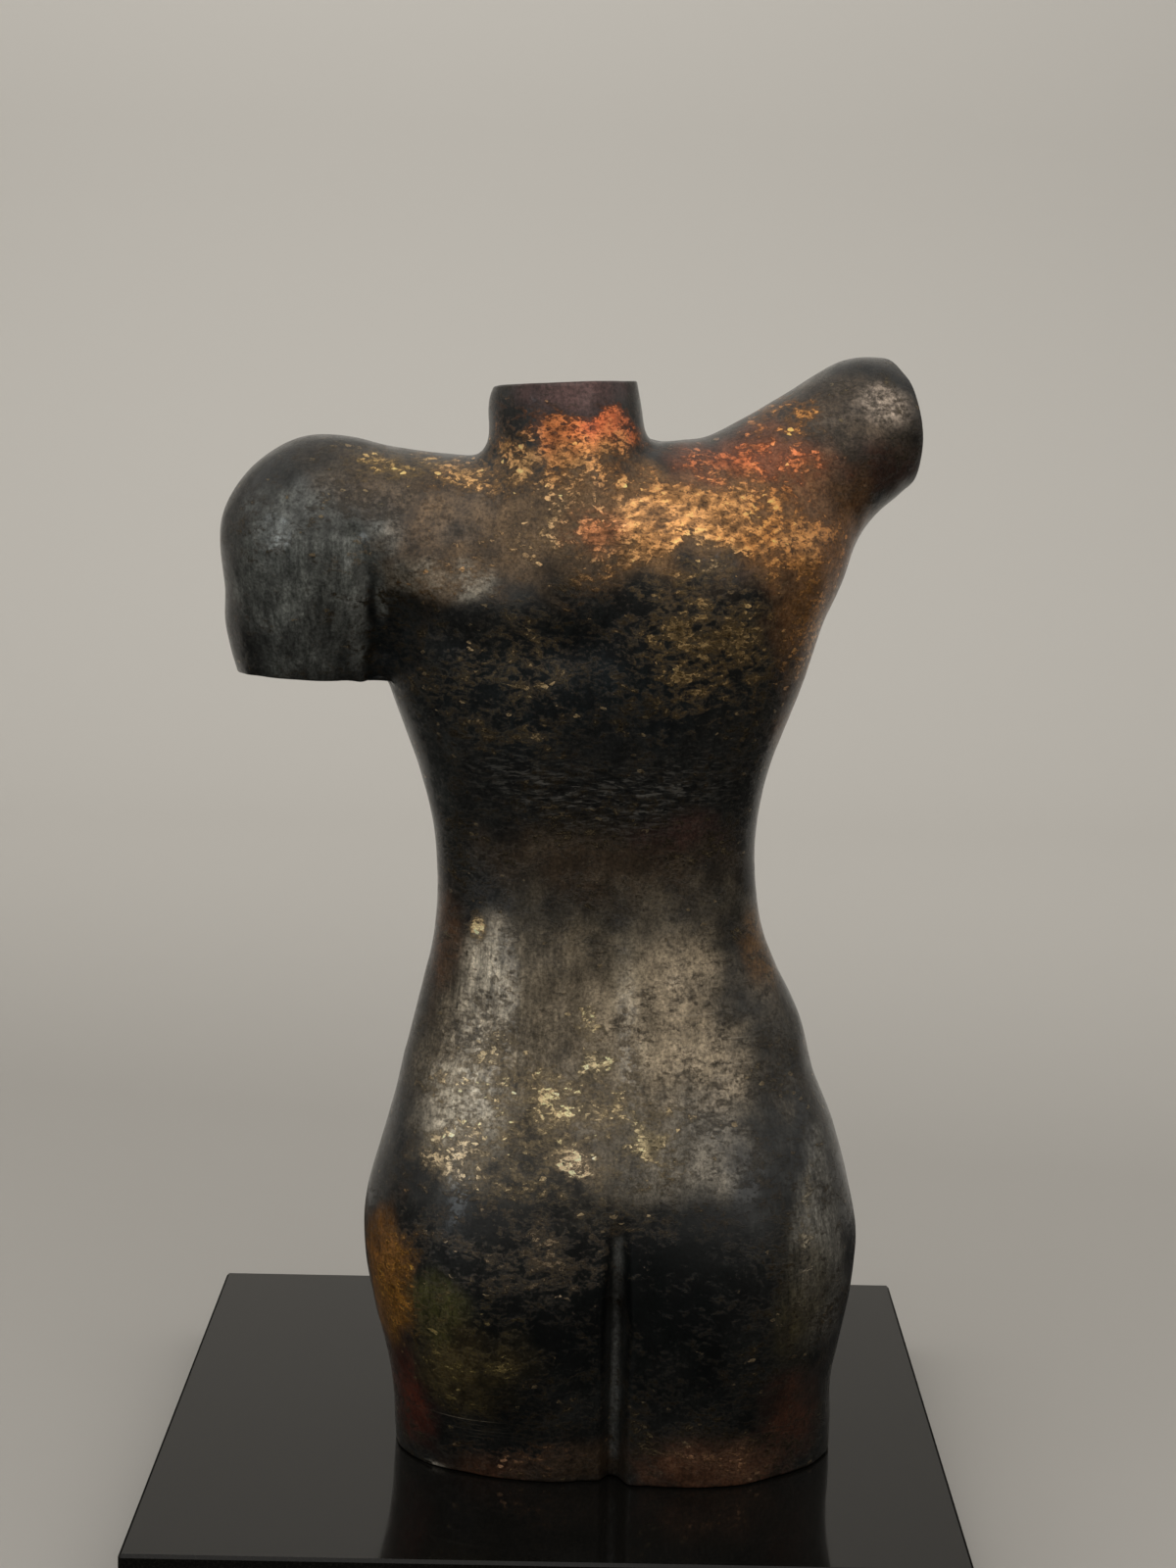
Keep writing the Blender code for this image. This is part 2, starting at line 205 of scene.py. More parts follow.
cleft = {
    "x": -0.0315,
    "valley": 0.0165,  # half width of the solid's wide valley
    "groove": 0.0049,  # half width of the groove that is left
    "filled": (0.17, 0.13, 0.0105),  # from and to this height, and how far it is filled
    "cut": (0.184, 0.16, 0.0042),  # the same, and how far the groove's top is cut in
    "cutEnd": (0.09, 0.13),
    "behind": 0.085,
    "sharpness": 2.6,
    # the sheen is a painted reflection along the groove's floor
    "sheen": ((0.09, 0.092, 0.086, 0.5), 0.0021, (0.048, 0.174)),  # tone, half width, heights
    "sheenEnds": 0.006,
}

# Where the solid's facets are smoothed out first: a middle, a reach and rounds

smoothed = {
    "armpit": ((0.09, 0.08, 0.455), (0.022, 0.05, 0.026), 14),
    "right hip": ((-0.108, 0.06, 0.276), (0.04, 0.09, 0.055), 44),
}

wrinkles = {
    "band": {
        "middle": -0.02,
        "low": 0.382,
        "rise": 0.024,
        "half": 0.074,
        "reach": 0.029,
        "height": 0.0006,
        "length": 1.25,  # in half widths
        "grain": (0.0075, 0.0024),  # sizes along it and across it
        "behind": 0.04,
    },
    "field": {
        "middle": (-0.06, 0.1, 0.515),
        "reach": (0.062, 0.06, 0.034),
        "slope": radians(24),
        "height": 0.00022,
        "fade": 2.2,
        "grain": (0.0055, 0.0022),
    },
    "depth": 0.01,
}


def onEnd(face, end):
    point, facing = Vector(end[0]), Vector(end[1]).normalized()
    away = (face.calc_center_median() - point).dot(facing)
    alike, near = skin["flat"]
    return face.normal.dot(facing) > alike and abs(away) < near


def endFaces(bm, end):
    return [face for face in bm.faces if onEnd(face, end)]


def endRim(bm, end):
    flat = set(endFaces(bm, end))
    return [e for e in bm.edges if sum(face in flat for face in e.link_faces) == 1]


def weldedQuads():
    bm = bmesh.new()
    bm.from_mesh(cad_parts["torso"].data)
    bmesh.ops.remove_doubles(bm, verts=bm.verts, dist=skin["weld"])
    crease = bm.edges.layers.float.new("crease_edge")
    for end in skin["ends"].values():
        flat = endFaces(bm, end)
        whole = bmesh.ops.dissolve_faces(bm, faces=flat, use_verts=False)["region"]
        for edge in endRim(bm, end):
            edge[crease] = 1.0
        bmesh.ops.inset_region(bm, faces=whole, thickness=skin["endRing"], use_even_offset=True)
    bmesh.ops.join_triangles(
        bm, faces=bm.faces, angle_face_threshold=skin["quadAngle"],
        angle_shape_threshold=skin["quadAngle"],
    )
    return bm


def subdivided(bm):
    mesh = bpy.data.meshes.new("rough")
    bm.to_mesh(mesh)
    rough = bpy.data.objects.new("rough", mesh)
    bpy.context.scene.collection.objects.link(rough)
    smooth = rough.modifiers.new("Subdivision", "SUBSURF")
    smooth.levels = smooth.render_levels = skin["levels"]
    fine = rough.evaluated_get(bpy.context.evaluated_depsgraph_get()).to_mesh()
    bm.clear()
    bm.from_mesh(fine)
    bpy.data.objects.remove(rough)
    bpy.data.meshes.remove(mesh)


def easeRims(bm):
    for end in skin["ends"].values():
        bmesh.ops.bevel(
            bm, geom=endRim(bm, end), offset=skin["rimRadius"], segments=3, profile=0.5,
            affect="EDGES", material=-1,
        )


def within(points, middle, reach):
    return 1 - np.linalg.norm((points - np.array(middle)) / np.array(reach), axis=1)


def eased(share):
    share = np.clip(share, 0, 1)
    return share * share * (3 - 2 * share)


def refined(bm):
    places = np.array([face.calc_center_median() for face in bm.faces])
    chosen = np.zeros(len(places), bool)
    for middle, reach in skin["finer"].values():
        chosen |= within(places, middle, reach) > 0
    bm.faces.ensure_lookup_table()
    edges = dict.fromkeys(e for i in np.flatnonzero(chosen) for e in bm.faces[int(i)].edges)
    bmesh.ops.subdivide_edges(bm, edges=list(edges), cuts=1, use_grid_fill=True, smooth=0.6)


def unevenness(place):
    return sum(height * noise.noise(place / size) for size, height in skin["lumps"])


def lineDistance(points, line):
    flat = points[:, [0, 2]]
    best = np.full(len(points), np.inf)
    for start, end in zip(line, line[1:]):
        start, end = np.array(start), np.array(end)
        along = np.clip((flat - start) @ (end - start) / np.sum((end - start) ** 2), 0, 1)
        off = flat - start - along[:, None] * (end - start)
        best = np.minimum(best, np.linalg.norm(off, axis=1))
    return best


def foldRise(points, normals):
    rise = np.zeros(len(points))
    for line, half, height in folds.values():
        rise += height * np.exp(-((lineDistance(points, line) / half) ** 2))
    return rise * eased(normals[:, 1] / 0.5)


def swellRise(points):
    return sum(h * eased(within(points, middle, reach)) for middle, reach, h in swells.values())


def stretchedNoise(points, along, across, size):
    # Noise of another size along, across and from back to front
    deep = points[:, 1] / wrinkles["depth"]
    places = np.column_stack((along / size[0], deep, across / size[1]))
    return np.array([noise.noise(Vector(place)) for place in places])


def bandNear(points):
    # How near a point is to the band's curved line, and how far above it
    band = wrinkles["band"]
    side = (points[:, 0] - band["middle"]) / band["half"]
    off = points[:, 2] - band["low"] - band["rise"] * side**2
    near = eased(1 - np.abs(off) / band["reach"]) * eased(band["length"] - np.abs(side))
    return near, off


def bandRise(points):
    band = wrinkles["band"]
    near, off = bandNear(points)
    return band["height"] * near * stretchedNoise(points, points[:, 0], off, band["grain"])


def fieldRise(points):
    field = wrinkles["field"]
    near = eased(field["fade"] * within(points, field["middle"], field["reach"]))
    along = -points[:, 0] * np.cos(field["slope"]) + points[:, 2] * np.sin(field["slope"])
    across = points[:, 0] * np.sin(field["slope"]) + points[:, 2] * np.cos(field["slope"])
    return field["height"] * near * stretchedNoise(points, along, across, field["grain"])


def rampDown(z, start, end):
    return eased((start - z) / (start - end))


def cleftFill(points):
    # The solid's wide valley is filled out, and a narrow groove is left in it and cut further up
    side, z = np.abs(points[:, 0] - cleft["x"]), points[:, 2]
    valley = np.clip(1 - side / cleft["valley"], 0, 1)
    groove = np.exp(-((side / cleft["groove"]) ** cleft["sharpness"]))
    start, end, fill = cleft["filled"]
    rise = fill * rampDown(z, start, end) * np.clip(valley - groove, 0, 1)
    start, end, cut = cleft["cut"]
    low, high = cleft["cutEnd"]
    rise -= cut * rampDown(z, start, end) * rampDown(-z, -low, -high) * groove
    return rise * (points[:, 1] > cleft["behind"])


def smoothFacets(bm):
    bm.verts.ensure_lookup_table()
    for middle, reach, rounds in smoothed.values():
        places = np.array([vert.co for vert in bm.verts])
        verts = [bm.verts[int(i)] for i in np.flatnonzero(within(places, middle, reach) > 0)]
        for _ in range(rounds):
            bmesh.ops.smooth_vert(
                bm, verts=verts, factor=0.5, use_axis_x=True, use_axis_y=True, use_axis_z=True,
            )


def pushSkin(bm):
    bm.normal_update()
    points = np.array([vert.co for vert in bm.verts])
    normals = np.array([vert.normal for vert in bm.verts])
    rise = np.array([unevenness(vert.co) for vert in bm.verts])
    back = normals[:, 1] > 0
    relief = bandRise(points) + fieldRise(points)
    rise += swellRise(points) + foldRise(points, normals) + back * relief
    points += normals * rise[:, None]
    points[:, 1] += cleftFill(points)
    for middle, reach, shift in nudges.values():
        points += eased(within(points, middle, reach))[:, None] * np.array(shift)
    low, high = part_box("torso")
    points = np.clip(points, low, high)
    for vert, place in zip(bm.verts, points):
        vert.co = place


def makeSkin():
    bm = weldedQuads()
    subdivided(bm)
    easeRims(bm)
    smoothFacets(bm)
    refined(bm)
    pushSkin(bm)
    bmesh.ops.recalc_face_normals(bm, faces=bm.faces)
    mesh = bpy.data.meshes.new("torsoSkin")
    bm.to_mesh(mesh)
    bm.free()
    mesh.shade_smooth()
    obj = bpy.data.objects.new("torsoSkin", mesh)
    bpy.context.scene.collection.objects.link(obj)
    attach(obj, "root")
    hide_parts("torso")
    return obj


torsoSkin = makeSkin()
print("torso skin", len(torsoSkin.data.polygons), "faces")


# What the lacquer and the leaf are painted with. Ground: a middle, its reach, the colour, how
# much of it is metal powder, and its strength. Leaf: a middle, its reach, the colour and how
# much of the area it covers. They lie on the skin as colour attributes.

paint = {
    "bareGround": (0.012, 0.0125, 0.0115, 0.35),
    "bareLeaf": (0.13, 0.098, 0.056, 0.23),
    "wander": ((0.06, 0.34), (0.02, 0.28), (0.008, 0.16)),  # sizes, and shares of the reach
    "softness": 0.75,
    "seed": 2,  # the wandering is the same in each run
    "ground": {
        "left arm slate": ((0.129, 0.099, 0.488), (0.06, 0.07, 0.062), (0.108, 0.113, 0.103), 0.45, 1.0),
        "shoulder top": ((0.095, 0.085, 0.535), (0.05, 0.06, 0.022), (0.085, 0.062, 0.04), 0.6, 0.9),
        # painted highlight: a pale blue-grey patch where the shoulder's lumps catch the light
        "shoulder lumps and painted highlight": ((0.14, 0.09, 0.51), (0.017, 0.06, 0.014), (0.112, 0.118, 0.11), 0.45, 0.9),
        # painted highlight: a pale stroke along the shoulder blade's fold, in two parts
        "blade highlight": ((0.058, 0.103, 0.492), (0.034, 0.06, 0.0125), (0.32, 0.305, 0.25), 0.7, 1.0),
        "upper blade highlight": ((0.087, 0.098, 0.509), (0.014, 0.06, 0.013), (0.12, 0.126, 0.116), 0.6, 1.0),
        "armpit shadow": ((0.082, 0.09, 0.46), (0.015, 0.06, 0.034), (0.004, 0.005, 0.005), 0.1, 1.0),
        # painted highlights along the arm's two edges, with painted shade in the crease between them
        "arm edge highlight": ((0.0985, 0.08, 0.47), (0.0075, 0.06, 0.04), (0.2, 0.206, 0.19), 0.5, 1.0),
        "arm crease": ((0.0925, 0.08, 0.472), (0.0045, 0.06, 0.04), (0.003, 0.004, 0.004), 0.1, 1.0),
        "second arm edge highlight": ((0.0875, 0.08, 0.482), (0.0042, 0.06, 0.026), (0.15, 0.155, 0.14), 0.45, 1.0),
        "upper back": ((-0.014, 0.11, 0.52), (0.135, 0.07, 0.05), (0.15, 0.095, 0.05), 0.66, 1.0),
        "neck plum": ((0.001, 0.097, 0.582), (0.045, 0.06, 0.018), (0.085, 0.046, 0.042), 0.5, 1.0),
        "raised arm": ((-0.142, 0.058, 0.566), (0.043, 0.06, 0.049), (0.085, 0.062, 0.042), 0.6, 1.0),
        # painted highlight on the raised arm's cut end
        "raised arm end highlight": ((-0.156, 0.05, 0.576), (0.02, 0.05, 0.013), (0.42, 0.34, 0.27), 0.75, 1.0),
        "raised arm dark": ((-0.155, 0.055, 0.545), (0.026, 0.05, 0.02), (0.04, 0.018, 0.012), 0.4, 0.9),
        "raised arm red": ((-0.094, 0.075, 0.55), (0.05, 0.06, 0.024), (0.26, 0.095, 0.045), 0.8, 0.9),
        "right blade": ((-0.118, 0.08, 0.508), (0.05, 0.075, 0.064), (0.21, 0.1, 0.038), 0.74, 1.0),
        "gold ground": ((-0.062, 0.105, 0.522), (0.07, 0.065, 0.038), (0.33, 0.175, 0.066), 0.82, 0.95),
        "middle back": ((0.004, 0.105, 0.44), (0.12, 0.06, 0.042), (0.006, 0.0085, 0.0095), 0.2, 1.0),
        "waist brown": ((-0.013, 0.086, 0.351), (0.091, 0.06, 0.029), (0.05, 0.034, 0.021), 0.5, 1.0),
        "waist plum": ((-0.06, 0.088, 0.367), (0.033, 0.06, 0.02), (0.055, 0.026, 0.02), 0.5, 0.7),
        "lower back": ((-0.016, 0.09, 0.264), (0.132, 0.08, 0.098), (0.165, 0.134, 0.092), 0.75, 1.0),
        # painted reflections of the windows, as pale patches on the lower back
        "lower back right reflection": ((-0.054, 0.095, 0.27), (0.046, 0.06, 0.056), (0.43, 0.345, 0.235), 0.8, 0.9),
        "lower back left reflection": ((0.036, 0.09, 0.286), (0.019, 0.06, 0.054), (0.43, 0.37, 0.28), 0.75, 0.95),
        "right flank": ((-0.104, 0.07, 0.31), (0.017, 0.06, 0.032), (0.15, 0.075, 0.022), 0.6, 0.8),
        "left flank": ((0.062, 0.065, 0.306), (0.019, 0.06, 0.042), (0.11, 0.055, 0.026), 0.55, 0.8),
        # painted reflections of the windows on the tops of the buttocks
        "left buttock": ((0.044, 0.108, 0.222), (0.03, 0.06, 0.036), (0.42, 0.367, 0.28), 0.74, 0.95),
        "right buttock": ((-0.062, 0.11, 0.214), (0.042, 0.06, 0.036), (0.215, 0.19, 0.15), 0.7, 0.9),
        "buttocks": ((-0.026, 0.118, 0.126), (0.126, 0.085, 0.09), (0.0014, 0.0022, 0.0021), 0.05, 1.0),
        # grey streaks down the hip's side, with a painted reflection on them
        "right hip streaks and reflection": ((-0.13, 0.092, 0.158), (0.018, 0.06, 0.078), (0.19, 0.18, 0.155), 0.5, 0.75),
        "left hip amber": ((0.085, 0.088, 0.136), (0.019, 0.06, 0.052), (0.24, 0.1, 0.018), 0.42, 1.0),
        "left hip red": ((0.077, 0.078, 0.08), (0.026, 0.06, 0.036), (0.066, 0.014, 0.006), 0.15, 1.0),
        "olive patch": ((0.042, 0.115, 0.103), (0.042, 0.06, 0.034), (0.052, 0.037, 0.013), 0.35, 0.8),
        "olive green": ((0.057, 0.11, 0.132), (0.022, 0.06, 0.024), (0.06, 0.058, 0.016), 0.4, 0.8),
        "hip olive": ((-0.121, 0.115, 0.133), (0.019, 0.06, 0.054), (0.05, 0.04, 0.018), 0.35, 0.8),
        "right foot red": ((-0.119, 0.096, 0.072), (0.024, 0.06, 0.03), (0.066, 0.024, 0.012), 0.2, 0.9),
        "right foot": ((-0.078, 0.106, 0.05), (0.044, 0.06, 0.024), (0.13, 0.06, 0.032), 0.5, 0.9),
        "left foot copper": ((0.034, 0.1, 0.044), (0.046, 0.06, 0.015), (0.085, 0.04, 0.022), 0.45, 0.9),
        "foot brown": ((-0.018, 0.105, 0.05), (0.03, 0.06, 0.018), (0.055, 0.034, 0.019), 0.4, 0.8),
        "foot streak": ((0.062, 0.092, 0.041), (0.01, 0.04, 0.0026), (0.45, 0.4, 0.33), 0.3, 1.0),
        "chest umber": ((-0.01, 0.0, 0.505), (0.14, 0.055, 0.055), (0.105, 0.071, 0.042), 0.62, 0.9),
        "chest rust": ((-0.075, 0.0, 0.52), (0.06, 0.05, 0.038), (0.22, 0.105, 0.038), 0.75, 0.9),
        "left breast": ((0.045, -0.03, 0.465), (0.045, 0.04, 0.032), (0.14, 0.105, 0.068), 0.68, 0.9),
        "right breast": ((-0.05, -0.03, 0.468), (0.045, 0.04, 0.034), (0.18, 0.11, 0.055), 0.7, 0.9),
        # painted shade: a darker band under the breasts
        "under the breasts": ((-0.01, -0.01, 0.405), (0.1, 0.05, 0.022), (0.02, 0.018, 0.016), 0.3, 1.0),
        "waist front brown": ((-0.015, 0.0, 0.35), (0.09, 0.06, 0.034), (0.07, 0.046, 0.028), 0.55, 0.9),
        "belly bronze": ((-0.03, -0.01, 0.262), (0.088, 0.06, 0.085), (0.19, 0.148, 0.096), 0.75, 1.0),
        "belly bright": ((-0.052, -0.01, 0.272), (0.04, 0.06, 0.04), (0.29, 0.225, 0.15), 0.8, 0.8),
        "right thigh": ((-0.112, 0.005, 0.15), (0.03, 0.06, 0.058), (0.19, 0.085, 0.02), 0.5, 0.9),
        "left thigh olive": ((0.04, 0.0, 0.12), (0.038, 0.06, 0.046), (0.07, 0.052, 0.02), 0.45, 0.9),
        "front thighs": ((-0.032, -0.01, 0.12), (0.05, 0.06, 0.052), (0.006, 0.0075, 0.0075), 0.2, 1.0),
        "front foot copper": ((-0.03, 0.0, 0.046), (0.11, 0.055, 0.022), (0.085, 0.038, 0.02), 0.4, 0.9),
        "left side slate": ((0.065, 0.045, 0.4), (0.03, 0.06, 0.06), (0.03, 0.033, 0.031), 0.35, 0.9),
        "right side rust": ((-0.12, 0.03, 0.44), (0.036, 0.06, 0.06), (0.14, 0.068, 0.028), 0.65, 0.9),
    },
    "leaf": {
        "neck gold": ((-0.002, 0.098, 0.559), (0.062, 0.065, 0.023), (0.84, 0.27, 0.08), 0.6),
        "neck red": ((-0.017, 0.094, 0.563), (0.022, 0.06, 0.015), (0.98, 0.23, 0.08), 0.7),
        "below the neck": ((-0.006, 0.104, 0.538), (0.075, 0.06, 0.026), (0.86, 0.4, 0.13), 0.5),
        "left of the neck": ((0.046, 0.092, 0.545), (0.042, 0.06, 0.022), (0.88, 0.5, 0.2), 0.46),
        "gold field": ((-0.064, 0.105, 0.521), (0.064, 0.065, 0.038), (1.0, 0.45, 0.13), 0.8),
        "right shoulder gold": ((-0.106, 0.088, 0.51), (0.046, 0.065, 0.046), (1.0, 0.38, 0.07), 0.62),
        "raised arm top": ((-0.108, 0.06, 0.57), (0.03, 0.05, 0.02), (0.9, 0.4, 0.11), 0.5),
        "raised arm root": ((-0.094, 0.075, 0.549), (0.052, 0.06, 0.026), (0.92, 0.26, 0.09), 0.54),
        "left shoulder band": ((0.088, 0.078, 0.54), (0.042, 0.06, 0.014), (0.8, 0.52, 0.2), 0.4),
        "upper back haze": ((-0.045, 0.1, 0.515), (0.13, 0.07, 0.06), (0.76, 0.37, 0.13), 0.46),
        "upper back flecks": ((0.008, 0.109, 0.514), (0.062, 0.06, 0.042), (0.74, 0.47, 0.23), 0.38),
        "copper patch": ((-0.017, 0.109, 0.513), (0.026, 0.06, 0.018), (1.0, 0.4, 0.16), 0.6),
        "right back flecks": ((-0.067, 0.108, 0.458), (0.062, 0.06, 0.056), (0.62, 0.41, 0.18), 0.38),
        "left back flecks": ((0.026, 0.108, 0.444), (0.057, 0.06, 0.044), (0.46, 0.33, 0.17), 0.22),
        "right flank copper": ((-0.118, 0.078, 0.47), (0.024, 0.06, 0.062), (0.62, 0.3, 0.1), 0.42),
        "crease flecks": ((0.1, 0.086, 0.5), (0.02, 0.06, 0.016), (0.66, 0.44, 0.2), 0.34),
        "lower back flecks": ((0.0, 0.104, 0.226), (0.08, 0.06, 0.06), (1.0, 0.76, 0.42), 0.33),
        "fleck a": ((-0.016, 0.092, 0.274), (0.009, 0.06, 0.015), (1.0, 0.78, 0.44), 0.6),
        "fleck b": ((-0.018, 0.096, 0.253), (0.013, 0.06, 0.01), (1.0, 0.8, 0.46), 0.64),
        "fleck c": ((-0.042, 0.11, 0.22), (0.014, 0.06, 0.015), (1.0, 0.8, 0.46), 0.64),
        "fleck d": ((-0.011, 0.115, 0.206), (0.016, 0.06, 0.017), (1.0, 0.76, 0.48), 0.64),
        "fleck e": ((0.042, 0.079, 0.316), (0.008, 0.06, 0.012), (1.0, 0.72, 0.38), 0.56),
        "left buttock gold": ((0.046, 0.109, 0.205), (0.038, 0.06, 0.022), (0.8, 0.62, 0.38), 0.44),
        "fleck f": ((0.05, 0.092, 0.24), (0.014, 0.06, 0.01), (0.8, 0.62, 0.38), 0.46),
        "buttock flecks": ((0.015, 0.118, 0.165), (0.08, 0.06, 0.03), (0.4, 0.3, 0.19), 0.15),
        "right hip line": ((-0.124, 0.109, 0.172), (0.007, 0.06, 0.052), (0.6, 0.52, 0.38), 0.44),
        "olive leaf": ((0.044, 0.116, 0.108), (0.046, 0.06, 0.044), (0.5, 0.38, 0.14), 0.33),
        "left hip leaf": ((0.08, 0.092, 0.134), (0.021, 0.06, 0.05), (0.9, 0.42, 0.08), 0.46),
        "foot leaf": ((-0.084, 0.113, 0.055), (0.033, 0.06, 0.013), (0.66, 0.34, 0.18), 0.42),
        "foot leaf left": ((0.01, 0.109, 0.055), (0.06, 0.06, 0.014), (0.44, 0.24, 0.13), 0.34),
        "chest haze": ((-0.02, 0.0, 0.5), (0.125, 0.055, 0.06), (0.66, 0.37, 0.14), 0.42),
        "chest gold": ((-0.07, 0.0, 0.522), (0.06, 0.05, 0.036), (1.0, 0.54, 0.18), 0.58),
        "neck front gold": ((0.004, 0.035, 0.556), (0.045, 0.04, 0.018), (0.92, 0.42, 0.13), 0.5),
        "left breast flecks": ((0.04, -0.03, 0.468), (0.04, 0.04, 0.026), (0.86, 0.6, 0.3), 0.4),
        "right breast copper": ((-0.052, -0.03, 0.472), (0.036, 0.04, 0.026), (0.92, 0.44, 0.17), 0.46),
        "waist front flecks": ((-0.01, 0.0, 0.35), (0.08, 0.055, 0.03), (0.56, 0.38, 0.19), 0.34),
        "belly flecks": ((-0.036, -0.015, 0.262), (0.07, 0.055, 0.08), (0.9, 0.68, 0.38), 0.34),
        "belly gold": ((-0.06, -0.015, 0.228), (0.026, 0.05, 0.02), (1.0, 0.76, 0.42), 0.5),
        "right side copper": ((-0.118, 0.03, 0.44), (0.036, 0.055, 0.06), (0.62, 0.34, 0.13), 0.46),
        "right thigh leaf": ((-0.112, 0.005, 0.15), (0.028, 0.055, 0.056), (0.8, 0.4, 0.1), 0.44),
        "left thigh leaf": ((0.042, 0.0, 0.12), (0.034, 0.055, 0.04), (0.46, 0.36, 0.13), 0.4),
        "front foot leaf": ((-0.03, 0.0, 0.056), (0.105, 0.05, 0.02), (0.62, 0.34, 0.17), 0.4),
    },
    "quiet": (  # where the leaf is thinner: a middle, a reach and the share that is taken off
        ((0.14, 0.09, 0.47), (0.066, 0.08, 0.075), 0.6),
        ((-0.036, 0.115, 0.13), (0.1, 0.06, 0.058), 0.55),
        ((-0.02, 0.09, 0.3), (0.1, 0.06, 0.05), 0.45),
        ((-0.01, 0.09, 0.59), (0.05, 0.06, 0.022), 0.6),
    ),
    "hairlines": (
        ((-0.07, 0.095, 0.262), (0.042, 0.06, 0.042)),
        ((0.046, 0.117, 0.072), (0.045, 0.06, 0.012)),
    ),
    "brushed": (
        ((0.129, 0.09, 0.478), (0.055, 0.07, 0.056)),
        ((-0.12, 0.095, 0.2), (0.04, 0.06, 0.12)),
        ((0.06, 0.09, 0.13), (0.05, 0.06, 0.08)),
        ((0.03, 0.09, 0.262), (0.062, 0.06, 0.08)),
    ),
}


def drifts(points):
    noise.seed_set(paint["seed"])
    drift = np.zeros_like(points)
    for size, share in paint["wander"]:
        drift += share * np.array([noise.noise_vector(Vector(p) / size) for p in points])
    return drift


def areaShare(points, drift, middle, reach):
    off = (points - np.array(middle)) / np.array(reach) + drift
    return eased((1 - np.linalg.norm(off, axis=1)) / paint["softness"])


def paintSkin(mesh):
    points = np.array([vert.co for vert in mesh.vertices])
    drift = drifts(points)
    ground = np.tile(paint["bareGround"], (len(points), 1))
    for middle, reach, colour, metal, strength in paint["ground"].values():
        share = strength * areaShare(points, drift, middle, reach)[:, None]
        ground += share * (np.array((*colour, metal)) - ground)
    # A painted reflection along the groove's floor, pale grey
    tone, half, (low, high) = cleft["sheen"]
    sheen = np.exp(-(((points[:, 0] - cleft["x"]) / half) ** 2)) * (points[:, 1] > cleft["behind"])
    z, ends = points[:, 2], cleft["sheenEnds"]
    sheen *= eased((z - low) / ends) * eased((high - z) / ends)
    ground += sheen[:, None] * (np.array(tone) - ground)
    leaf = np.tile(paint["bareLeaf"], (len(points), 1))
    for middle, reach, colour, cover in paint["leaf"].values():
        share = areaShare(points, drift, middle, reach)
        leaf[:, :3] += share[:, None] * (np.array(colour) - leaf[:, :3])
        leaf[:, 3] = np.maximum(leaf[:, 3], cover * share)
    for middle, reach, taken in paint["quiet"]:
        leaf[:, 3] *= 1 - taken * areaShare(points, drift, middle, reach)
    marksAndLight = np.zeros((len(points), 4))
    for channel, areas in enumerate((paint["hairlines"], paint["brushed"])):
        for middle, reach in areas:
            share = areaShare(points, drift, middle, reach)
            marksAndLight[:, channel] = np.maximum(marksAndLight[:, channel], share)
    # The band's mask also gives its valleys painted shade and its crests a painted highlight; the last
    # channel is the wrinkles' height, which paints highlight and shade on the leaf
    marksAndLight[:, 2] = bandNear(points)[0] * (points[:, 1] > wrinkles["band"]["behind"])
    marksAndLight[:, 3] = 0.5 + np.clip(fieldRise(points) / wrinkles["field"]["height"], -0.5, 0.5)
    for name, values in (("ground", ground), ("leaf", leaf), ("marksAndLight", marksAndLight)):
        layer = mesh.attributes.new(name, "FLOAT_COLOR", "POINT")
        layer.data.foreach_set("color", values.astype(np.float32).ravel())


paintSkin(torsoSkin.data)
print("areas painted")


# The torso's finish: dark lacquer over broken leaf, under a gloss coat. A pair is a range, from
# and to; scales are in cells to the metre.

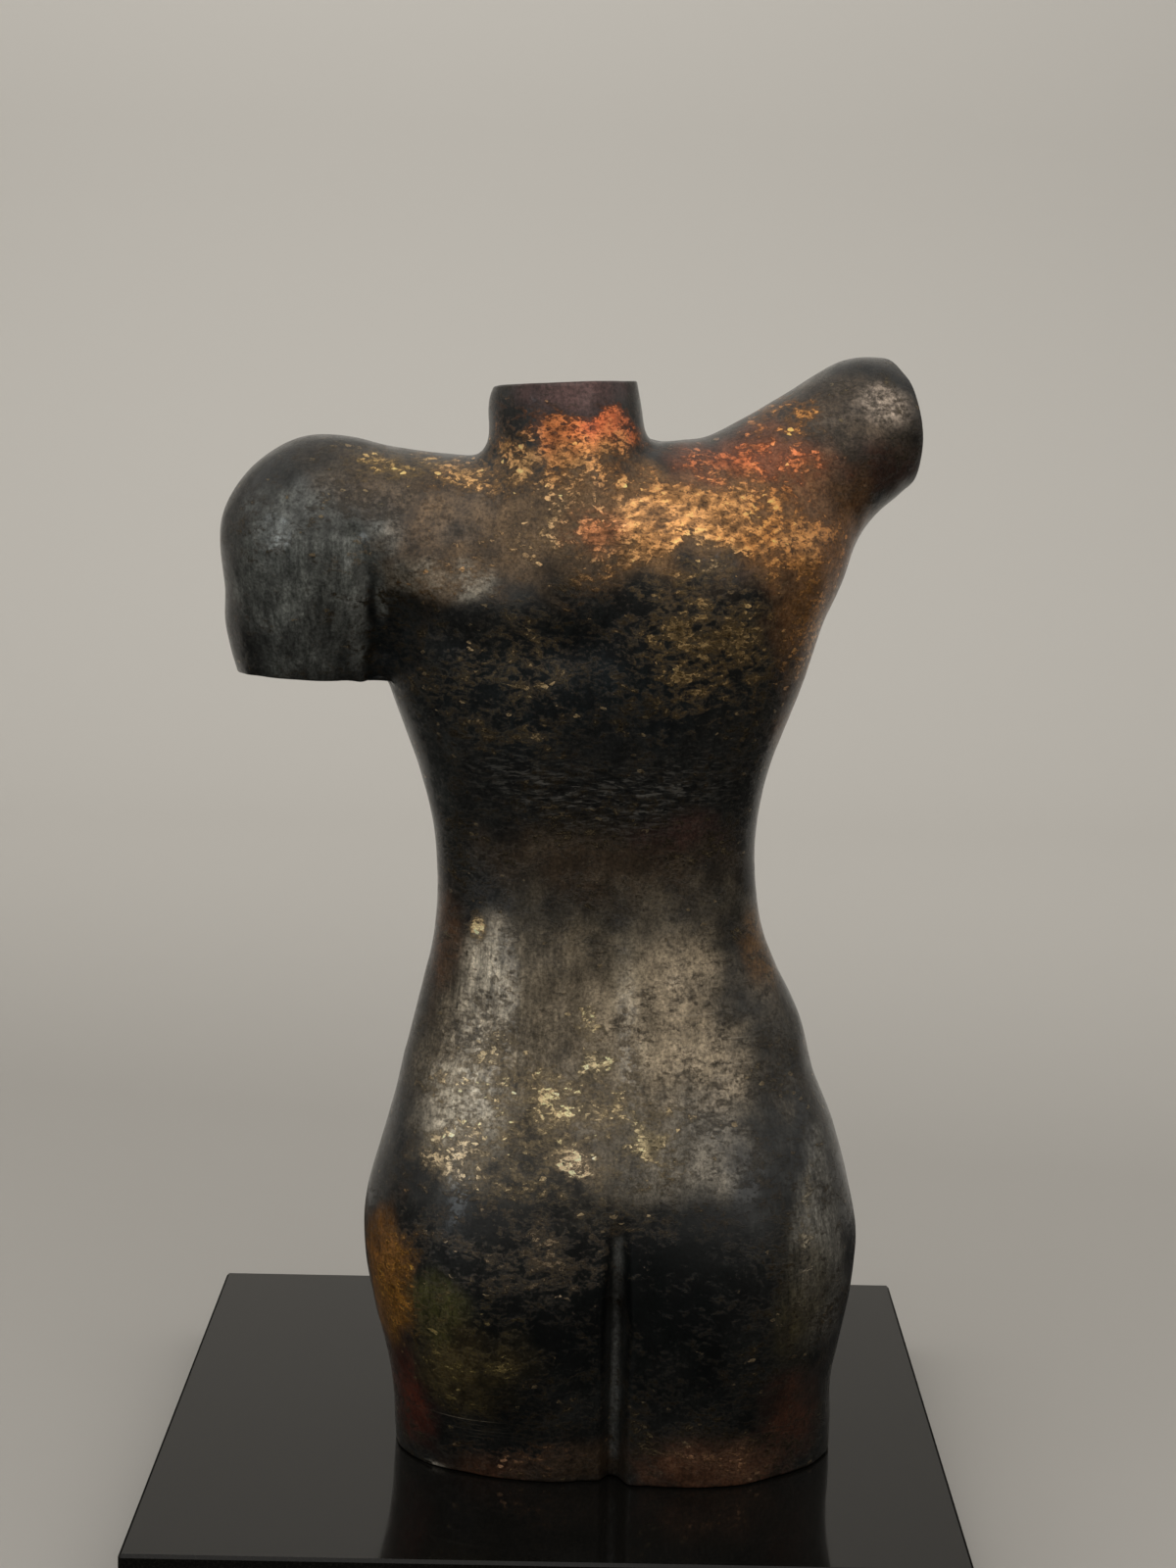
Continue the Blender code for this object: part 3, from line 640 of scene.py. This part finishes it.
lacquer = {
    "leafTurn": radians(16),  # the scraps lie a little slanted and flat
    "leafStretch": 1.6,
    "broadScale": 36,
    "tornScale": 135,
    "tornShare": 1.7,
    "cellScale": 380.0,
    "cellShare": 0.24,
    "film": (0.16, 0.5),
    "filmStrength": 0.8,
    "leaf": (0.5, 0.55),
    "leafMetal": 0.92,
    "sparkCells": (0.99, 0.994),
    "sparks": (0.3, 0.36),
    "mottleScale": (90, 60, 52),
    "mottleShade": (0.5, 1.6),
    "speckScale": 620,
    "speckShade": (0.5, 1.6),
    "filmShade": (0.12, 0.4),
    "strokeScale": (330, 330, 26),
    "strokeShade": (-0.5, 0.6),
    "scratchTurn": radians(5),
    "scratchScale": (16, 16, 1300),
    "scratchTone": (0.42, 0.36, 0.28, 1),
    "scratchShare": 0.5,
    "creaseScale": (130, 130, 620),
    # the wrinkled band: painted shade in its valleys and a painted highlight on its crests
    "valleys": (0.5, 0.41),
    "paintedValleyShade": (0.004, 0.004, 0.004, 1),
    "valleyShare": 0.9,
    "crests": (0.52, 0.61),
    "paintedCrestHighlight": (0.125, 0.118, 0.104, 1),
    "crestShare": 0.8,
    "veilScale": 70,
    "veilShade": (0.26, 1.0),
    "cellShade": (0.8, 1.35),
    # painted glint on the sparks, and painted highlight and shade along the leaf's wrinkles
    "paintedSparkGlint": 0.6,
    "paintedWrinkleLight": (0.55, 1.35),
    "crackScale": 420,
    "crackShade": (0.3, 1.08),
    "roughness": (0.52, 0.38),
    "leafRoughness": -0.08,  # what leaf adds to it
    "coat": 0.8,
    "coatRoughness": 0.17,
    "coatIor": 1.38,
    "ior": 1.36,
    "crinkleTurn": radians(24),
    "crinkleScale": (230, 230, 460),
    "crinkleHeight": (0.9, 0.12),  # over film and over bare ground
    "leafHeight": 0.22,
    "dentScale": 150,
    "dentHeight": 0.25,
    "strokeHeight": 0.5,
    "creaseHeight": 1.4,
    "rippleScale": 95,
    "filmRipple": 0.35,
    "relief": (0.6, 0.0007),  # strength and height
    "coatRelief": (0.4, 0.001),
}


def product(material, first, second):
    return maths(material, "MULTIPLY", first, second)


def summed(material, first, factor, rest):
    return maths(material, "MULTIPLY_ADD", first, factor, rest)


def laidLeaf(material, slant, cover):
    # How much leaf lies at a point: the wanted cover, a broad drift, torn edges and small cells
    torn, small = lacquer["tornShare"], lacquer["cellShare"]
    cells = {"Vector": slant, "Scale": lacquer["cellScale"], "Randomness": 1.0}
    cells = addNode(material, "TexVoronoi", cells)
    cell = addNode(material, "SeparateColor", {"Color": cells.outputs["Color"]}).outputs[0]
    laid = summed(material, grain(material, slant, lacquer["broadScale"], 4, 0.6, 0.5), 1.0, cover)
    laid = summed(material, grain(material, slant, lacquer["tornScale"], 12, 0.78, 0.5), torn, laid)
    laid = summed(material, cell, small, laid)
    return maths(material, "SUBTRACT", laid, 0.5 * (1.0 + torn + small)), cell


def groundTone(material, ground, marksAndLight, mottle, speck, strokes, creases):
    # The ground's colour, mottled and brushed, with fine specks, scratches and a wrinkled band, with
    # painted shade in the band's valleys and a painted highlight on its crests
    place = addNode(material, "TexCoord").outputs["Object"]
    shade = product(
        material, ramp(material, mottle, 0.3, 0.7, *lacquer["mottleShade"]),
        ramp(material, speck, 0.25, 0.75, *lacquer["speckShade"]),
    )
    stroke = product(material, marksAndLight[1], ramp(material, strokes, 0.3, 0.7, *lacquer["strokeShade"]))
    shade = product(material, shade, maths(material, "ADD", stroke, 1.0))
    tone = blendColours(material, 1.0, ground, shade, "MULTIPLY")
    lines = stretched(material, place, (0, lacquer["scratchTurn"], 0), lacquer["scratchScale"])
    scratch = ramp(material, grain(material, lines, 1.0, 3, 0.6), 0.6, 0.7)
    scratch = product(material, product(material, marksAndLight[0], scratch), lacquer["scratchShare"])
    tone = blendColours(material, scratch, tone, lacquer["scratchTone"])
    valley = product(material, marksAndLight[2], ramp(material, creases, *lacquer["valleys"]))
    valley = product(material, valley, lacquer["valleyShare"])
    tone = blendColours(material, valley, tone, lacquer["paintedValleyShade"])
    crest = product(material, marksAndLight[2], ramp(material, creases, *lacquer["crests"]))
    crest = product(material, crest, lacquer["crestShare"])
    return blendColours(material, crest, tone, lacquer["paintedCrestHighlight"])


def leafToneAndGlint(material, slant, cell, spark, wrinkle):
    # How bright the leaf is: by scrap, under a drifting veil, with painted glints on the sparks, painted
    # highlight on the wrinkles' crests and painted shade in their hollows, cracked
    place = addNode(material, "TexCoord").outputs["Object"]
    veil = grain(material, place, lacquer["veilScale"], 8, 0.72)
    veil = ramp(material, veil, 0.34, 0.6, *lacquer["veilShade"])
    toneAndGlint = product(material, ramp(material, cell, 0.0, 1.0, *lacquer["cellShade"]), veil)
    toneAndGlint = maths(material, "ADD", toneAndGlint, product(material, spark, lacquer["paintedSparkGlint"]))
    toneAndGlint = product(material, toneAndGlint, ramp(material, wrinkle, 0.2, 0.8, *lacquer["paintedWrinkleLight"]))
    cracks = grain(material, slant, lacquer["crackScale"], 6, 0.72, 0.3)
    return product(material, toneAndGlint, ramp(material, cracks, 0.38, 0.52, *lacquer["crackShade"]))


def lacquerRelief(material, shader, film, leaf, strokes, creases, marksAndLight):
    # Crinkled film, raised leaf, dents, brush strokes and creases, and ripples in the coat
    place = addNode(material, "TexCoord").outputs["Object"]
    crinkle = stretched(material, place, (0, lacquer["crinkleTurn"], 0), lacquer["crinkleScale"])
    crinkle = grain(material, crinkle, 1.0, 7, 0.62, 0.8)
    height = product(material, crinkle, summed(material, film, *lacquer["crinkleHeight"]))
    height = summed(material, leaf, lacquer["leafHeight"], height)
    dents = grain(material, place, lacquer["dentScale"], 3, 0.5)
    height = summed(material, dents, lacquer["dentHeight"], height)
    stroke = product(material, strokes, marksAndLight[1])
    height = summed(material, stroke, lacquer["strokeHeight"], height)
    crease = product(material, creases, marksAndLight[2])
    height = summed(material, crease, lacquer["creaseHeight"], height)
    ripple = grain(material, place, lacquer["rippleScale"], 4, 0.55)
    ripple = summed(material, crinkle, product(material, film, lacquer["filmRipple"]), ripple)
    for rise, socket, size in ((height, "Normal", "relief"), (ripple, "Coat Normal", "coatRelief")):
        strength, distance = lacquer[size]
        bump = {"Height": rise, "Strength": strength, "Distance": distance}
        plug(material, shader.inputs[socket], addNode(material, "Bump", bump).outputs["Normal"])


def lacquerFinish():
    material, shader = newMaterial("lacquer over broken leaf")
    place = addNode(material, "TexCoord").outputs["Object"]
    layers = ("ground", "leaf", "marksAndLight")
    painted = [addNode(material, "Attribute", attribute_name=layer) for layer in layers]
    ground, leafPaint, marksAndLightPaint = (node.outputs for node in painted)
    marksAndLight = addNode(material, "SeparateColor", {"Color": marksAndLightPaint["Color"]}).outputs
    slant = (0, lacquer["leafTurn"], 0)
    slant = stretched(material, place, slant, (1, 1, lacquer["leafStretch"]))
    mottle = stretched(material, place, (0, 0, 0), lacquer["mottleScale"])
    mottle = grain(material, mottle, 1.0, 10, 0.74)
    speck = grain(material, place, lacquer["speckScale"], 4, 0.7)
    strokes = stretched(material, place, (0, 0, 0), lacquer["strokeScale"])
    strokes = grain(material, strokes, 1.0, 5, 0.65)
    creases = stretched(material, place, (0, 0, 0), lacquer["creaseScale"])
    creases = grain(material, creases, 1.0, 6, 0.66, 0.7)

    laid, cell = laidLeaf(material, slant, leafPaint["Alpha"])
    film = ramp(material, laid, *lacquer["film"])
    spark = ramp(material, cell, *lacquer["sparkCells"])
    spark = product(material, spark, ramp(material, laid, *lacquer["sparks"]))
    leaf = maths(material, "MAXIMUM", ramp(material, laid, *lacquer["leaf"]), spark)

    # Thin brown bronze at the scraps' edges, and bright leaf where it lies thickest
    filmTone = ramp(material, speck, 0.25, 0.75, *lacquer["filmShade"])
    filmTone = blendColours(material, 1.0, leafPaint["Color"], filmTone, "MULTIPLY")
    toneAndGlint = leafToneAndGlint(material, slant, cell, spark, marksAndLightPaint["Alpha"])
    leafTone = blendColours(material, 1.0, leafPaint["Color"], toneAndGlint, "MULTIPLY")
    thin = product(material, film, lacquer["filmStrength"])
    tone = groundTone(material, ground["Color"], marksAndLight, mottle, speck, strokes, creases)
    tone = blendColours(material, thin, tone, filmTone)
    plug(material, shader.inputs["Base Color"], blendColours(material, leaf, tone, leafTone))

    metal = maths(material, "MAXIMUM", ground["Alpha"], thin)
    metal = maths(material, "MAXIMUM", metal, product(material, leaf, lacquer["leafMetal"]))
    plug(material, shader.inputs["Metallic"], metal)
    rough = ramp(material, mottle, 0.3, 0.7, *lacquer["roughness"])
    plug(material, shader.inputs["Roughness"], summed(material, leaf, lacquer["leafRoughness"], rough))
    shader.inputs["Coat Weight"].default_value = lacquer["coat"]
    shader.inputs["Coat Roughness"].default_value = lacquer["coatRoughness"]
    shader.inputs["Coat IOR"].default_value = lacquer["coatIor"]
    shader.inputs["IOR"].default_value = lacquer["ior"]
    lacquerRelief(material, shader, film, leaf, strokes, creases, marksAndLight)
    return material


torsoSkin.data.materials.append(lacquerFinish())
print("lacquer made")


# The plinth's finish: black stone, polished, with faint crystals.

stone = {
    "dark": (0.005, 0.0048, 0.0042, 1),
    "crystal": (0.013, 0.012, 0.01, 1),
    "crystalScale": 650,
    "cloudScale": 30,
    "roughness": (0.045, 0.085),
    "ior": 1.28,
}


def stoneFinish():
    material, shader = newMaterial("polished black stone")
    place = addNode(material, "TexCoord").outputs["Object"]
    crystals = ramp(material, grain(material, place, stone["crystalScale"], 4, 0.7), 0.45, 0.75)
    tone = blendColours(material, crystals, stone["dark"], stone["crystal"])
    plug(material, shader.inputs["Base Color"], tone)
    rough = grain(material, place, stone["cloudScale"], 4, 0.6)
    rough = ramp(material, rough, 0.3, 0.7, *stone["roughness"])
    plug(material, shader.inputs["Roughness"], rough)
    shader.inputs["IOR"].default_value = stone["ior"]
    return material


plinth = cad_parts["plinth"]
plinth.data.materials.clear()
plinth.data.materials.append(stoneFinish())
print("plinth made")


# The stage: a pale floor in two lengths, and a backdrop that the far one turns up into. The near
# one stays out of the gloss, so that the back's lower parts are as dark as in a dim room.

stage = {
    "width": 18.0,
    "near": 8.0,
    "seam": -0.55,
    "far": -2.9,
    "turn": 0.9,
    "height": 3.4,
    "steps": 14,
    "colour": (0.53, 0.513, 0.484),
    "roughness": 0.85,
}


def pulled(bm, edges, move):
    geometry = bmesh.ops.extrude_edge_only(bm, edges=edges)["geom"]
    verts = [g for g in geometry if isinstance(g, bmesh.types.BMVert)]
    bmesh.ops.translate(bm, verts=verts, vec=move)
    return [g for g in geometry if isinstance(g, bmesh.types.BMEdge)]


def firstEdge(bm, y):
    ends = [bm.verts.new((x, y, 0)) for x in (-stage["width"] / 2, stage["width"] / 2)]
    return [bm.edges.new(ends)]


def addStage(bm, name, material):
    mesh = bpy.data.meshes.new(name)
    bm.to_mesh(mesh)
    bm.free()
    mesh.shade_smooth()
    mesh.materials.append(material)
    obj = bpy.data.objects.new(name, mesh)
    bpy.context.scene.collection.objects.link(obj)
    return obj


def makeStage():
    material, shader = newMaterial("pale matt paint")
    shader.inputs["Base Color"].default_value = (*stage["colour"], 1)
    shader.inputs["Roughness"].default_value = stage["roughness"]
    foot = stage["far"] + stage["turn"]
    floor = bmesh.new()
    pulled(floor, firstEdge(floor, stage["near"]), (0, stage["seam"] - stage["near"], 0))
    addStage(floor, "stageFloor", material).visible_glossy = False
    wall = bmesh.new()
    far = pulled(wall, firstEdge(wall, stage["seam"]), (0, foot - stage["seam"], 0))
    across = [edge for edge in far if edge.calc_length() > stage["width"] / 2]
    turned = bmesh.ops.spin(
        wall, geom=across, cent=(0, foot, stage["turn"]), axis=(-1, 0, 0), angle=pi / 2,
        steps=stage["steps"],
    )["geom_last"]
    edges = [g for g in turned if isinstance(g, bmesh.types.BMEdge)]
    pulled(wall, edges, (0, 0, stage["height"] - stage["turn"]))
    addStage(wall, "stageBackdrop", material)


makeStage()


# Lights: each has a place, what it looks at, its width and height, radiance and colour.

lights = {
    "overhead": ((0.1, 1.1, 1.9), (-0.02, 0.05, 0.4), (1.7, 1.2), 0.75, (1.0, 0.97, 0.93)),
    "left window": ((0.98, 1.0, 0.55), (-0.02, 0.08, 0.4), (0.34, 0.5), 2.4, (0.9, 0.96, 1.0)),
    "right window": ((-0.72, 1.25, 0.86), (-0.02, 0.08, 0.4), (0.5, 0.45), 1.3, (1.0, 0.96, 0.9)),
    "backdrop": ((0.4, -0.75, 2.3), (-0.1, -2.9, 2.3), (2.8, 0.8), 6.4, (1.0, 0.985, 0.95)),
}


def placeLight(name, place, target, size, radiance, colour):
    data = bpy.data.lights.new(name, "AREA")
    data.shape = "RECTANGLE"
    data.size, data.size_y = size
    data.energy = radiance * pi * size[0] * size[1]
    data.color = colour
    obj = bpy.data.objects.new(name, data)
    obj.location = place
    obj.rotation_euler = (Vector(target) - Vector(place)).to_track_quat("-Z", "Y").to_euler()
    obj.visible_camera = False
    bpy.context.scene.collection.objects.link(obj)


for name, settings in lights.items():
    placeLight(name, *settings)

# The room: dim below eye level, brighter above, and a pale wall where the camera looks past it

room = {
    "below": 0.018,
    "above": 0.62,
    "rise": (-0.05, 0.3),
    "horizon": (0.3, 0.287, 0.262),
    "shown": (0.345, 0.331, 0.306),
    "shownRise": (0.0, 0.25),
    "tint": (1.0, 0.965, 0.91, 1),
}


def makeRoom():
    world = bpy.data.worlds.new("room")
    world.use_nodes = True
    direction = addNode(world, "TexCoord").outputs["Generated"]
    height = addNode(world, "SeparateXYZ", {0: direction}).outputs["Z"]
    level = ramp(world, height, *room["rise"], room["below"], room["above"])
    tint = blendColours(world, 1.0, room["tint"], level, "MULTIPLY")
    seen = addNode(world, "LightPath").outputs["Is Camera Ray"]
    wall = ramp(world, height, *room["shownRise"])
    behind = blendColours(world, wall, (*room["horizon"], 1), (*room["shown"], 1))
    background = world.node_tree.nodes["Background"]
    plug(world, background.inputs["Color"], blendColours(world, seen, tint, behind))
    return world


bpy.context.scene.world = makeRoom()
bpy.context.scene.view_settings.view_transform = "Standard"
print("stage and lights made")
